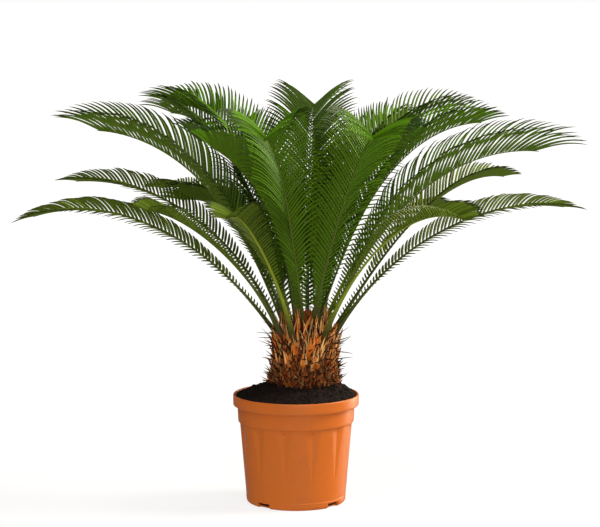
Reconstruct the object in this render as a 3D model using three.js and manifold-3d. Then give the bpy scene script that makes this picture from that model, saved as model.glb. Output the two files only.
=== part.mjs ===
// Sago palm in a moulded plastic pot.
//
// Lengths are in millimetres and angles in degrees. +Z is up, +X is the plant's right and +Y its
// back. The origin is the centre of the pot's flat underside. A heading turns about +Z from +X.

import * as THREE from "three";
import { mergeVertices } from "three/addons/utils/BufferGeometryUtils.js";
import Module from "manifold-3d";

const wasm = await Module();
wasm.setup();

// ---------------------------------------------------------------- driving dimensions

const GAP = 0.3; // clearance between neighbouring solids
const TOUCH = 1e-6; // least shared volume that counts as a touch

// Pot: a 300 mm container with a rim, a second band under it, and a tapering fluted body.
const POT_SIDES = 40;
const POT_HEIGHT = 260;
const RIM_RADIUS = 150;
const RIM_HEIGHT = 26;
const RIM_WALL = 5.5;
const RIM_ROUND = 1.8;
const RIM_SEAT = 4; // height of the sloping ledge inside the rim
const BAND_TOP_RADIUS = 139.5;
const BAND_FOOT_RADIUS = 137.5;
const BAND_HEIGHT = 39;
const BAND_STEP = 1; // height of the sloping step under the band
const BODY_TOP_RADIUS = 134;
const BODY_FOOT_RADIUS = 118;
const FOOT_ROUND = 8;
const POT_WALL = 5.5;
const POT_FLOOR = 4;
const FLUTES = 12;
const FLUTE_HEADING = -72;
const FLUTE_WIDTH = 42;
const FLUTE_DEPTH = 3.8;
const FLUTE_FOOT = 60; // height of the flutes' lower points
const NOTCHES = 4;
const NOTCH_HEADING = -41;
const NOTCH_WIDTH = 38;
const NOTCH_HEIGHT = 13;
const NOTCH_REACH = 16; // how far a drain notch reaches in from the foot's edge

// Soil: fills the pot and mounds up round the trunk's foot.
const SOIL_EDGE_HEIGHT = 254;
const SOIL_PAD_RADIUS = 88;
const SOIL_MOUND = [
  { rise: 0, inwards: 0 },
  { rise: 0.3, inwards: 0.25 },
  { rise: 0.6, inwards: 0.55 },
  { rise: 0.82, inwards: 0.8 },
  { rise: 1, inwards: 1 },
];

// Trunk: a squat barrel with a slight lean, clad in leaf scales, with a woolly bud on top.
const TRUNK_SIDES = 24;
const TRUNK_FOOT_X = 19.5;
const TRUNK_TOP_X = 24;
const TRUNK_FOOT = 284;
const TRUNK_TOP = 436;
const TRUNK_LEVELS = [
  { height: 0, radius: 84 },
  { height: 7, radius: 82 },
  { height: 30, radius: 80 },
  { height: 56, radius: 75 },
  { height: 88, radius: 68 },
  { height: 112, radius: 63 },
  { height: 128, radius: 53 },
  { height: 141, radius: 35 },
  { height: TRUNK_TOP - TRUNK_FOOT, radius: 15 },
];
const SCALES = 62;
const SCALE_TURN = 137.508; // golden angle from one scale to the next
const SCALE_SUNK = 6;
const SCALE_KNEE = 0.6; // where a scale starts to run out to its point
const LOWEST_SCALE = { height: 9, length: 16, half: 11, depth: 8, lift: 48 };
const HIGHEST_SCALE = { height: 112, length: 38, half: 7, depth: 5, lift: 74 };
const BUD_RADIUS = 13;
const BUD_HEIGHT = 29;
const BUD_LEAN = 4;
const BUD_SIDES = 12;
const BUD_LEVELS = [
  { rise: 0, width: 1 },
  { rise: 0.35, width: 0.95 },
  { rise: 0.7, width: 0.7 },
  { rise: 0.92, width: 0.35 },
  { rise: 1, width: 0.1 },
];

// Fronds: arching ribs seated in the crown on three rings, each with leaflets in a shallow V.
const CROWN = new THREE.Vector3(24, 0, 420);
const OUTER = { radius: 64, height: -18, width: 14, grown: 0.8, colour: 0x5c6b22 };
const MIDDLE = { radius: 46, height: -3, width: 12, grown: 0.46, colour: 0x4a7424 };
const INNER = { radius: 26, height: 10, width: 10, grown: 0.42, colour: 0x3f7d20 };
const SEAT_DEPTH = 10; // how far a rib's foot stands in its socket
const SOCKET_REACH = 100; // how far up a rib the scales are trimmed back from it
const RIB_STEPS = 40; // steps of the curve
const RIB_FACETS = 12; // steps of a rib solid without leaflets
const RIB_TIP_WIDTH = 3;
const RIB_TAPER = 1.3;
const RIB_DEPTH_SHARE = 0.75; // keel depth as a share of the rib's width
const LEAF_PAIRS = 14;
const LEAF_FIRST = 0.1; // place of the first pair along the rib
const LEAF_LAST = 0.975;
const LEAF_ROOT_SHARE = 0.5; // share of the spacing that a leaflet's root takes
const LEAF_SPINE_SHARE = 0.12; // length of the spines at the foot, as a share of the longest
const LEAF_GROWS = 0.04; // place from which spines lengthen to full leaflets, at the seat's grown
const LEAF_SHRINKS = 0.6; // place from which they shorten again
const LEAF_ANGLE = 61; // angle to the rib at the foot
const LEAF_CLOSING = 1.2; // how late that angle closes
const LEAF_TIP_CLOSES = 16; // how much further the last few leaflets close
const LEAF_TIP_CLOSING = 16; // how late they do
const LEAF_ROLL_ENDS = 1.2; // place at which a frond's roll would be gone
const LEAF_WIDTH_SHARE = 0.6;
const LEAF_SLIMNESS = 4; // least length for each half width
const LEAF_DEPTH = 2.4;
const LEAF_KNEE = 0.55; // where a leaflet starts to curve
const LEAF_CURL = { forward: 0.075, down: 0.1, drop: 0.62 };
const LEAF_HEAVY = 155; // length at which a leaflet hangs by its frond's full droop
const LEAF_TRIES = [1, 0.7, 0.45]; // shares of its length that a crowded leaflet is tried at
const LEAF_CLEAR = 0.5;

// Each frond: heading, seat, rise at the foot, arch from foot to tip, bend exponent, rib length and
// sweep of the heading from foot to tip. Then its leaflets: length, how far they shrink and close by
// the tip, vee above the frond's plane at the middle, lift of that vee from foot to tip, roll, which
// lowers the right side's leaflets and lifts the left side's, and droop. An exponent above 1 keeps
// the foot straight. Old outer fronds lie flat, and young inner ones stand in a deep vee.
const FRONDS = [
  [176, OUTER, 52, 70, 1.55, 700, -7, 98, 0.3, 27, 14, 15, -24, 0.25],
  [208, OUTER, 68, 62, 0.75, 660, 45, 92, 0.5, 12, 24, 15, -20, 0.2],
  [154, OUTER, 64, 69, 1.15, 695, 6, 105, 0.35, 27, 20, 15, -18, 0.18],
  [242, OUTER, 65, 70, 1.0, 713, 25, 100, 0.4, 18, 26, 15, 0, 0.2],
  [308, OUTER, 58, 64, 1.2, 714, -16, 100, 0.4, 18, 28, 15, 8, 0.2],
  [5, OUTER, 57, 66, 1.2, 682, 14, 95, 0.3, 27, 16, 15, 24, 0.25],
  [24, OUTER, 53, 63, 2.6, 640, 14, 92, 0.4, 26, 35, 15, 8, 0.1],
  [180, MIDDLE, 67, 64, 2.1, 684, 4, 150, 0.15, 27, 36, 26, -17, 0.16],
  [134, MIDDLE, 69, 71, 2.25, 715, -2, 150, 0.3, 27, 38, 15, -14, 0.12],
  [295, INNER, 61, 80, 3.2, 730, -31, 150, 0.1, 6, 28, 12, -16, 0.4],
  [352, MIDDLE, 64, 69, 1.9, 700, 0, 150, 0.08, 27, 38, 26, 12, 0.12],
  [30, MIDDLE, 84, 83, 1.9, 680, -18, 128, 0.4, 16, 36, 15, 14, 0.1],
  [256, INNER, 65, 78, 2.3, 750, 12, 150, 0.05, 6, 34, 20, 0, 0.4],
  [130, INNER, 73, 76, 2.1, 725, 16, 145, 0.3, 27, 34, 15, -8, 0.06],
  [12, INNER, 69, 68, 2.5, 655, -8, 140, 0.45, 27, 40, 15, 14, 0.12],
  [86, MIDDLE, 84, 99, 3.0, 664, 0, 156, 0.2, 10, 28, 10, 0, 0.14],
  [56, OUTER, 50, 66, 1.6, 640, 0, 105, 0.4, 26, 22, 15, 0, 0.12],
  [76, OUTER, 55, 68, 1.6, 700, 5, 105, 0.4, 26, 25, 15, 0, 0.12],
  [100, OUTER, 53, 66, 1.6, 700, -4, 105, 0.4, 26, 25, 15, 0, 0.12],
  [127, OUTER, 56, 68, 1.6, 660, 4, 105, 0.4, 26, 20, 15, 0, 0.12],
  [60, MIDDLE, 66, 72, 2.0, 700, 4, 140, 0.4, 26, 38, 15, 0, 0.08],
  [111, MIDDLE, 68, 74, 2.0, 700, -6, 140, 0.4, 26, 38, 15, 0, 0.08],
  [150, MIDDLE, 72, 84, 1.8, 470, -6, 120, 0.4, 26, 36, 15, 0, 0.08],
  [46, INNER, 80, 70, 1.8, 600, 10, 140, 0.4, 26, 40, 15, 0, 0.06],
  [152, INNER, 80, 64, 1.8, 540, 0, 140, 0.4, 26, 40, 15, 0, 0.06],
  [214, INNER, 82, 58, 1.6, 520, 8, 140, 0.4, 26, 40, 15, 0, 0.06],
  [332, INNER, 82, 56, 1.6, 520, -8, 140, 0.4, 26, 40, 15, 0, 0.06],
];

const POT_COLOUR = 0xc2622a;
const SOIL_COLOUR = 0x1e1612;
const TRUNK_COLOUR = 0x7a4a22;
const BUD_COLOUR = 0x8a4a24;

// ---------------------------------------------------------------- small helpers

const point = (x, y, z) => new THREE.Vector3(x, y, z);
const radians = THREE.MathUtils.degToRad;

/** The level direction of a heading. */
function level(heading) {
  return point(Math.cos(radians(heading)), Math.sin(radians(heading)), 0);
}

/** start + direction × distance, for any number of direction and distance pairs. */
function offset(start, ...moves) {
  const end = start.clone();
  for (let k = 0; k < moves.length; k += 2) {
    end.addScaledVector(moves[k], moves[k + 1]);
  }
  return end;
}

/** Collects the corners and faces of one closed body. */
class Skin {
  corners = [];
  triangles = [];

  add(...points) {
    const first = this.corners.length;
    this.corners.push(...points);
    return points.map((_, k) => first + k);
  }

  /** A face from its corners, anticlockwise from outside, or clockwise where it is mirrored. */
  face(ids, mirrored = false) {
    const ring = mirrored ? [...ids].reverse() : ids;
    for (let k = 1; k + 1 < ring.length; k += 1) {
      this.triangles.push(ring[0], ring[k], ring[k + 1]);
    }
  }

  geometry() {
    const geometry = new THREE.BufferGeometry().setFromPoints(this.corners);
    geometry.setIndex(this.triangles);
    return geometry;
  }

  solid() {
    return manifold(this.geometry());
  }
}

/** A manifold solid from a closed geometry. */
function manifold(geometry) {
  const bare = geometry.clone();
  bare.deleteAttribute("normal");
  bare.deleteAttribute("uv");
  const merged = mergeVertices(bare, 1e-4);
  const index = [...merged.getIndex().array];
  const kept = [];
  for (let k = 0; k < index.length; k += 3) {
    const [a, b, c] = index.slice(k, k + 3);
    if (a !== b && b !== c && c !== a) kept.push(a, b, c);
  }
  const vertProperties = new Float32Array(merged.getAttribute("position").array);
  const triVerts = new Uint32Array(kept);
  return new wasm.Manifold(new wasm.Mesh({ numProp: 3, vertProperties, triVerts }));
}

/** A geometry from a manifold solid. */
function geometryOf(solid) {
  const mesh = solid.getMesh();
  const geometry = new THREE.BufferGeometry();
  geometry.setAttribute("position", new THREE.BufferAttribute(mesh.vertProperties, 3));
  geometry.setIndex([...mesh.triVerts]);
  return geometry;
}

/** The largest of a solid's separate pieces. */
function largestPiece(solid) {
  const pieces = solid.decompose();
  return pieces.reduce((best, piece) => (piece.volume() > best.volume() ? piece : best));
}

function named(name, geometry, colour, roughness) {
  geometry.computeVertexNormals();
  const material = new THREE.MeshStandardMaterial({ color: colour, roughness, metalness: 0 });
  const mesh = new THREE.Mesh(geometry, material);
  mesh.name = name;
  return mesh;
}

/** A closed body through level rings of as many corners each, the lowest first. */
function loft(rings) {
  const skin = new Skin();
  const ids = rings.map((ring) => skin.add(...ring));
  const count = rings[0].length;
  skin.face([...ids[0]].reverse());
  skin.face(ids[ids.length - 1]);
  for (let k = 0; k + 1 < ids.length; k += 1) {
    for (let j = 0; j < count; j += 1) {
      const next = (j + 1) % count;
      skin.face([ids[k][j], ids[k][next], ids[k + 1][next], ids[k + 1][j]]);
    }
  }
  return skin.geometry();
}

/** A level ring of corners. */
function ring(x, z, radius, sides) {
  const step = 360 / sides;
  return Array.from({ length: sides }, (_, k) => offset(point(x, 0, z), level(k * step), radius));
}

/** A body of revolution about the Z axis from [radius, height] pairs, the axis closing it. */
function turned(outline, sides) {
  const profile = outline.map(([radius, height]) => new THREE.Vector2(radius, height));
  return new THREE.LatheGeometry(profile, sides).rotateX(Math.PI / 2);
}

// ---------------------------------------------------------------- pot and soil

const rimFoot = POT_HEIGHT - RIM_HEIGHT;
const bodyTop = rimFoot - BAND_HEIGHT;

/** The pot's inner faces, from the middle of its floor up to the rim's lip. */
const POT_INSIDE = [
  [0, POT_FLOOR],
  [BODY_FOOT_RADIUS - POT_WALL - FOOT_ROUND / 2, POT_FLOOR],
  [BODY_FOOT_RADIUS - POT_WALL, FOOT_ROUND + POT_FLOOR / 2],
  [BODY_TOP_RADIUS - POT_WALL, bodyTop],
  [BAND_TOP_RADIUS - POT_WALL, rimFoot],
  [RIM_RADIUS - RIM_WALL, rimFoot + RIM_SEAT],
];

function potBody() {
  const outline = [
    [0, 0],
    [BODY_FOOT_RADIUS - FOOT_ROUND, 0],
    [BODY_FOOT_RADIUS - FOOT_ROUND / 3, FOOT_ROUND / 3],
    [BODY_FOOT_RADIUS, FOOT_ROUND],
    [BODY_TOP_RADIUS, bodyTop],
    [BAND_FOOT_RADIUS, bodyTop + BAND_STEP],
    [BAND_TOP_RADIUS, rimFoot],
    [RIM_RADIUS - RIM_ROUND, rimFoot],
    [RIM_RADIUS, rimFoot + RIM_ROUND],
    [RIM_RADIUS, POT_HEIGHT - RIM_ROUND],
    [RIM_RADIUS - RIM_ROUND, POT_HEIGHT],
    [RIM_RADIUS - RIM_WALL, POT_HEIGHT],
    ...[...POT_INSIDE].reverse(),
  ];
  return manifold(turned(outline, POT_SIDES));
}

/** The outer radius of the pot's tapering body. */
function bodyRadius(height) {
  return THREE.MathUtils.mapLinear(height, FOOT_ROUND, bodyTop, BODY_FOOT_RADIUS, BODY_TOP_RADIUS);
}

/** The wedge that a flute takes out: wide under the band, running out to a point below. */
function fluteCutter(heading) {
  const proud = 1; // how far the wedge stands out of the wall that it cuts
  const top = bodyTop - BAND_STEP;
  const spread = THREE.MathUtils.radToDeg(FLUTE_WIDTH / 2 / BODY_TOP_RADIUS);
  const skin = new Skin();
  const [left, right, inner, foot] = skin.add(
    offset(point(0, 0, top), level(heading - spread), bodyRadius(top) + proud),
    offset(point(0, 0, top), level(heading + spread), bodyRadius(top) + proud),
    offset(point(0, 0, top), level(heading), bodyRadius(top) - FLUTE_DEPTH),
    offset(point(0, 0, FLUTE_FOOT), level(heading), bodyRadius(FLUTE_FOOT)),
  );
  skin.face([left, right, inner]);
  skin.face([right, left, foot]);
  skin.face([left, inner, foot]);
  skin.face([inner, right, foot]);
  return skin.solid();
}

/** The block that a drain notch takes out of the foot's edge. */
function notchCutter(heading) {
  const below = 2; // how far the block reaches under the pot
  const block = new THREE.BoxGeometry(2 * NOTCH_REACH, NOTCH_WIDTH, NOTCH_HEIGHT + below);
  block.translate(BODY_FOOT_RADIUS, 0, (NOTCH_HEIGHT - below) / 2);
  block.rotateZ(radians(heading));
  return manifold(block);
}

function makePot() {
  let solid = potBody();
  for (let k = 0; k < FLUTES; k += 1) {
    solid = solid.subtract(fluteCutter(FLUTE_HEADING + (k * 360) / FLUTES));
  }
  for (let k = 0; k < NOTCHES; k += 1) {
    solid = solid.subtract(notchCutter(NOTCH_HEADING + (k * 360) / NOTCHES));
  }
  return named("pot", geometryOf(solid), POT_COLOUR, 0.45);
}

function makeSoil() {
  const rings = POT_INSIDE.slice(1).map(([radius, height]) => {
    return ring(0, height + GAP, radius - GAP, POT_SIDES);
  });
  const wallRadius = RIM_RADIUS - RIM_WALL - GAP;
  for (const { rise, inwards } of SOIL_MOUND) {
    const radius = THREE.MathUtils.lerp(wallRadius, SOIL_PAD_RADIUS, inwards);
    const height = THREE.MathUtils.lerp(SOIL_EDGE_HEIGHT, TRUNK_FOOT, rise);
    rings.push(ring(TRUNK_FOOT_X * inwards, height, radius, POT_SIDES));
  }
  return named("soil", loft(rings), SOIL_COLOUR, 0.95);
}

// ---------------------------------------------------------------- fronds

/** One frond: its curve, and its rib's section at any place along it. */
class Frond {
  constructor([heading, seat, rise, arch, bend, length, sweep, ...leaf]) {
    const [leafLength, shrinks, closes, vee, lift, roll, droop] = leaf;
    Object.assign(this, { heading, seat, rise, arch, bend, length, sweep });
    Object.assign(this, { leafLength, shrinks, closes, vee, lift, roll, droop });
    this.frames = this.follow();
  }

  /** The rib's frames from foot to tip, found by following its heading and rise. */
  follow() {
    const frames = [];
    const half = this.length / RIB_STEPS / 2;
    const up = point(0, 0, 1);
    const foot = offset(CROWN, level(this.heading), this.seat.radius, up, this.seat.height);
    for (let k = 0; k <= RIB_STEPS; k += 1) {
      const share = (k / RIB_STEPS) ** this.bend;
      const tilt = radians(this.rise - this.arch * share);
      const course = this.heading + this.sweep * share;
      const along = offset(point(0, 0, Math.sin(tilt)), level(course), Math.cos(tilt));
      const side = level(course - 90);
      const last = frames[k - 1];
      const origin = last ? offset(last.origin, last.along, half, along, half) : foot;
      frames.push({ origin, along, side, up: side.clone().cross(along) });
    }
    return frames;
  }

  /** The frame at a place from 0 at the foot to 1 at the tip; below 0 it runs straight on. */
  at(place) {
    const scaled = THREE.MathUtils.clamp(place, 0, 1) * RIB_STEPS;
    const low = Math.min(Math.floor(scaled), RIB_STEPS - 1);
    const [a, b] = [this.frames[low], this.frames[low + 1]];
    const mix = (key) => a[key].clone().lerp(b[key], scaled - low);
    const along = mix("along").normalize();
    const origin = offset(mix("origin"), along, Math.min(place, 0) * this.length);
    return { origin, along, side: mix("side").normalize(), up: mix("up").normalize() };
  }

  width(place) {
    const taper = (1 - THREE.MathUtils.clamp(place, 0, 1)) ** RIB_TAPER;
    return THREE.MathUtils.lerp(RIB_TIP_WIDTH, this.seat.width, taper);
  }

  /**
   * The rib's three corners at a place: left, right and keel, grown outwards by a margin. Its lower
   * faces slant, so that the corners move by twice the margin to bring them out by it.
   */
  section(place, grow = 0) {
    const { origin, side, up } = this.at(place);
    const half = this.width(place) / 2 + 2 * grow;
    const keel = this.width(place) * RIB_DEPTH_SHARE + 2 * grow;
    return [
      offset(origin, side, -half, up, grow),
      offset(origin, side, half, up, grow),
      offset(origin, up, -keel),
    ];
  }

  /** The bare rib between two places as a solid. */
  ribSolid(from, to, grow = 0) {
    const skin = new Skin();
    const ids = Array.from({ length: RIB_FACETS + 1 }, (_, k) => {
      return skin.add(...this.section(THREE.MathUtils.lerp(from, to, k / RIB_FACETS), grow));
    });
    for (let k = 0; k < RIB_FACETS; k += 1) {
      const [[a, b, c], [d, e, f]] = [ids[k], ids[k + 1]];
      skin.face([a, b, e, d]);
      skin.face([b, c, f, e]);
      skin.face([c, a, d, f]);
    }
    const [a, b, c] = ids[0];
    skin.face([a, c, b]);
    skin.face(ids[RIB_FACETS]);
    return skin.solid();
  }
}

const LEAF_PITCH = (LEAF_LAST - LEAF_FIRST) / LEAF_PAIRS;

/** The start and end of each leaflet's root along the rib. */
function leafSlots() {
  return Array.from({ length: LEAF_PAIRS }, (_, k) => {
    const start = LEAF_FIRST + LEAF_PITCH * k;
    return [start, start + LEAF_PITCH * LEAF_ROOT_SHARE];
  });
}

/** A leaflet's length: a spine at the foot, long at the middle, shorter at the tip. */
function leafLength(frond, place) {
  const ease = THREE.MathUtils.smoothstep(place, LEAF_GROWS, frond.seat.grown);
  const past = Math.max(0, (place - LEAF_SHRINKS) / (1 - LEAF_SHRINKS));
  return frond.leafLength * Math.max(LEAF_SPINE_SHARE, ease) * (1 - frond.shrinks * past ** 2);
}

/** The angle between a leaflet and the rib, which closes towards the tip. */
function leafAngle(frond, place) {
  const closed = frond.closes * place ** LEAF_CLOSING + LEAF_TIP_CLOSES * place ** LEAF_TIP_CLOSING;
  return radians(LEAF_ANGLE - closed);
}

/**
 * A leaflet's eight corners: four of its root on the rib's side, three at its knee, and its tip.
 * turn is +1 on the rib's right and -1 on its left.
 */
function leafCorners(frond, [start, end], turn, lengthShare, grow = 0) {
  const place = (start + end) / 2;
  const extra = grow / frond.length;
  const near = frond.section(start - extra, grow);
  const far = frond.section(end + extra, grow);
  const edge = turn > 0 ? 1 : 0;
  const { along, side, up } = frond.at(place);
  const tilt = frond.vee + frond.lift * (place - 0.5);
  const rolled = (LEAF_ROLL_ENDS - place) / (LEAF_ROLL_ENDS - 0.5);
  const vee = radians(tilt - turn * frond.roll * rolled);
  const angle = leafAngle(frond, place);
  const out = offset(point(0, 0, 0), side, turn * Math.cos(vee), up, Math.sin(vee));
  const course = offset(point(0, 0, 0), along, Math.cos(angle), out, Math.sin(angle)).normalize();
  const across = offset(along, course, -along.dot(course)).normalize();
  const top = course.clone().cross(across).multiplyScalar(turn);
  const length = leafLength(frond, place) * lengthShare;
  const hang = (frond.droop * (1.5 - place) * length) / LEAF_HEAVY;
  const curved = offset(course, along, LEAF_CURL.forward, up, -LEAF_CURL.down);
  curved.z -= LEAF_CURL.drop * hang;
  curved.normalize();
  const room = LEAF_PITCH * frond.length * Math.sin(angle);
  const half = Math.min((room * LEAF_WIDTH_SHARE) / 2, length / LEAF_SLIMNESS);
  const root = near[edge].clone().lerp(far[edge], 0.5);
  const knee = offset(root, course, length * LEAF_KNEE);
  return [
    near[edge],
    near[2],
    far[2],
    far[edge],
    offset(knee, across, -half - grow, top, grow),
    offset(knee, top, -LEAF_DEPTH - grow),
    offset(knee, across, half + grow, top, grow),
    offset(knee, curved, length * (1 - LEAF_KNEE) + grow),
  ];
}

/** The leaflet's faces beyond its root. */
function leafFaces(skin, [r0, r1, r2, r3, near, keel, far, tip], mirrored) {
  skin.face([r0, r1, keel, near], mirrored);
  skin.face([r1, r2, keel], mirrored);
  skin.face([r2, r3, far, keel], mirrored);
  skin.face([r3, r0, near, far], mirrored);
  skin.face([near, keel, tip], mirrored);
  skin.face([keel, far, tip], mirrored);
  skin.face([far, near, tip], mirrored);
}

/** A leaflet alone as a solid. */
function leafSolid(corners, turn) {
  const skin = new Skin();
  const ids = skin.add(...corners);
  leafFaces(skin, ids, turn < 0);
  skin.face([ids[3], ids[2], ids[1], ids[0]], turn < 0);
  return skin.solid();
}

/** Whether two solids share any space. */
function clash(one, other) {
  const [a, b] = [one.boundingBox(), other.boundingBox()];
  const apart = [0, 1, 2].some((k) => a.max[k] < b.min[k] || b.max[k] < a.min[k]);
  if (apart) return false;
  const shared = one.intersect(other);
  const touching = shared.volume() > TOUCH;
  shared.delete();
  return touching;
}

/** The largest tried share of its length at which a leaflet stays clear of all others, or 0. */
function clearShare(frond, slot, turn, taken) {
  return (
    LEAF_TRIES.find((share) => {
      const grown = leafSolid(leafCorners(frond, slot, turn, share, LEAF_CLEAR), turn);
      const free = !taken.some((item) => item.owner !== frond && clash(grown, item.solid));
      grown.delete();
      return free;
    }) ?? 0
  );
}

/** A frond's blade: rib and leaflets in one skin, cut to the rib between the leaflets. */
function frondGeometry(frond, taken) {
  const skin = new Skin();
  const slots = leafSlots();
  const places = [-SEAT_DEPTH / frond.length, ...slots.flat()];
  const ids = places.map((place) => skin.add(...frond.section(place)));
  skin.face([ids[0][0], ids[0][2], ids[0][1]]);
  for (let k = 0; k + 1 < ids.length; k += 1) {
    const [[a, b, c], [d, e, f]] = [ids[k], ids[k + 1]];
    skin.face([a, b, e, d]);
    for (const turn of [1, -1]) {
      const root = turn > 0 ? [b, c, f, e] : [a, c, f, d];
      const slot = k % 2 === 1 ? slots[(k - 1) / 2] : null;
      const share = slot ? clearShare(frond, slot, turn, taken) : 0;
      if (share === 0) {
        skin.face(root, turn < 0);
        continue;
      }
      const corners = leafCorners(frond, slot, turn, share);
      leafFaces(skin, [...root, ...skin.add(...corners.slice(4))], turn < 0);
      taken.push({ owner: frond, solid: leafSolid(corners, turn) });
    }
  }
  const [tip] = skin.add(frond.at(1).origin);
  const [a, b, c] = ids[ids.length - 1];
  skin.face([a, b, tip]);
  skin.face([b, c, tip]);
  skin.face([c, a, tip]);
  return skin.geometry();
}

function makeFronds(fronds) {
  const taken = fronds.map((frond) => ({ owner: frond, solid: frond.ribSolid(0, 1) }));
  return fronds.map((frond, k) => {
    const name = `frond_${String(k + 1).padStart(2, "0")}`;
    return named(name, frondGeometry(frond, taken), frond.seat.colour, 0.5);
  });
}

// ---------------------------------------------------------------- trunk and bud

/** The trunk's centre and radius at a height above its foot. */
function trunkLevel(height) {
  const above = TRUNK_LEVELS.findIndex((one) => one.height >= height);
  const high = TRUNK_LEVELS[Math.max(above, 1)];
  const low = TRUNK_LEVELS[Math.max(above, 1) - 1];
  const radius = THREE.MathUtils.mapLinear(height, low.height, high.height, low.radius, high.radius);
  const lean = height / (TRUNK_TOP - TRUNK_FOOT);
  return { x: THREE.MathUtils.lerp(TRUNK_FOOT_X, TRUNK_TOP_X, lean), radius };
}

/**
 * One leaf scale: a pointed blade rooted in the trunk. Low ones are short, blunt stumps that stand
 * out, high ones are long bracts that stand up round the ribs.
 */
function scaleSolid(k) {
  const share = k / (SCALES - 1);
  const grade = (key, bend = 1) => {
    return THREE.MathUtils.lerp(LOWEST_SCALE[key], HIGHEST_SCALE[key], share ** bend);
  };
  const [height, half, depth] = [grade("height"), grade("half"), grade("depth")];
  const length = grade("length", 2) + SCALE_SUNK;
  const lift = radians(grade("lift"));
  const heading = k * SCALE_TURN;
  const { x, radius } = trunkLevel(height);
  const out = level(heading);
  const across = level(heading + 90);
  const along = offset(point(0, 0, Math.sin(lift)), out, Math.cos(lift));
  const back = across.clone().cross(along);
  const root = offset(point(x, 0, TRUNK_FOOT + height), out, radius - SCALE_SUNK);
  const knee = offset(root, along, length * SCALE_KNEE);
  const narrow = 0.8;
  const skin = new Skin();
  const [a, b, c, d, e, f, tip] = skin.add(
    offset(root, across, -half),
    offset(root, across, half),
    offset(root, back, depth),
    offset(knee, across, -half * narrow),
    offset(knee, across, half * narrow),
    offset(knee, back, depth * narrow),
    offset(root, along, length),
  );
  skin.face([a, b, c]);
  skin.face([a, d, e, b]);
  skin.face([b, e, f, c]);
  skin.face([c, f, d, a]);
  skin.face([d, tip, e]);
  skin.face([e, tip, f]);
  skin.face([f, tip, d]);
  return skin.solid();
}

function makeTrunk(fronds) {
  const rings = TRUNK_LEVELS.map(({ height }) => {
    const { x, radius } = trunkLevel(height);
    return ring(x, TRUNK_FOOT + GAP + height, radius, TRUNK_SIDES);
  });
  let solid = manifold(loft(rings));
  for (let k = 0; k < SCALES; k += 1) {
    solid = solid.add(scaleSolid(k));
  }
  for (const frond of fronds) {
    const foot = -(SEAT_DEPTH + GAP) / frond.length;
    solid = solid.subtract(frond.ribSolid(foot, SOCKET_REACH / frond.length, GAP));
  }
  return named("trunk", geometryOf(largestPiece(solid)), TRUNK_COLOUR, 0.9);
}

function makeBud() {
  const foot = TRUNK_TOP + 2 * GAP;
  const rings = BUD_LEVELS.map(({ rise, width }) => {
    return ring(TRUNK_TOP_X + BUD_LEAN * rise, foot + BUD_HEIGHT * rise, BUD_RADIUS * width, BUD_SIDES);
  });
  return named("bud", loft(rings), BUD_COLOUR, 0.95);
}

// ---------------------------------------------------------------- the whole plant

const fronds = FRONDS.map((row) => new Frond(row));
const palm = new THREE.Group();
palm.name = "sago_palm";
palm.add(makePot(), makeSoil(), makeTrunk(fronds), makeBud(), ...makeFronds(fronds));

export default palm;
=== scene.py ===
"""Looks of a potted sago palm, laid out as an add-on and run as a script.

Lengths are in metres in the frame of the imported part: +Z is up, +X is the plant's right and +Y
its back, with the origin in the middle of the pot's flat underside. Tables marked mm are turned
to metres where they are read. A heading turns about +Z from +X, in degrees.
"""

import math

import bpy
import numpy as np
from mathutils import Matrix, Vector
from mathutils.bvhtree import BVHTree


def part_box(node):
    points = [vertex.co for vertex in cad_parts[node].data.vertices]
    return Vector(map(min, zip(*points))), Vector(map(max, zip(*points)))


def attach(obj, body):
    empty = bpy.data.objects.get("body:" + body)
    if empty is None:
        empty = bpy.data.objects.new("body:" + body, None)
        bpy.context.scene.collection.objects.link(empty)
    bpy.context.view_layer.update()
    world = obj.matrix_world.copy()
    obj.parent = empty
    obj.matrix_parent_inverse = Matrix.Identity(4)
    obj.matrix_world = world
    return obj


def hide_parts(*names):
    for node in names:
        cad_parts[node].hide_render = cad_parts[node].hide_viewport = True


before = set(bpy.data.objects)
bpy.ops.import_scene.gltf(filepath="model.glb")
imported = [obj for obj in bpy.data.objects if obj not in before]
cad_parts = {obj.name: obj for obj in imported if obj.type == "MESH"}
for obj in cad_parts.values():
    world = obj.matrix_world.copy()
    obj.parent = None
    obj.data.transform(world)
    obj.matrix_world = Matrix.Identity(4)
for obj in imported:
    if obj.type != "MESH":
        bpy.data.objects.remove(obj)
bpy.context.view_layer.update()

bl_info = {
    "name": "Sago Palm",
    "version": (1, 0, 0),
    "blender": (4, 5, 0),
    "location": "3D View > Sidebar > Sago Palm",
    "description": "Models and finishes a potted sago palm around its packed part",
    "category": "Object",
}

MM = 0.001
BODY = "root"
GOLDEN_ANGLE = 137.508
UPWARDS = np.array((0, 0, 1.0))
WHITE = (1.0, 1.0, 1.0, 1.0)

# ------------------------------------------------------------------ sizes shared with the part

BODY_TOP = 195 * MM
BODY_FOOT_RADIUS = 118 * MM
BODY_TOP_RADIUS = 134 * MM
FLUTES = 12
FLUTE_HEADING = -72
FLUTE_WIDTH = 42 * MM
FLUTE_FOOT = 60 * MM
NOTCH_HEADINGS = (-41, 49, 139, 229)
NOTCH_WIDTH = 38 * MM
NOTCH_HEIGHT = 13 * MM
NOTCH_REACH = 16 * MM

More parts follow.
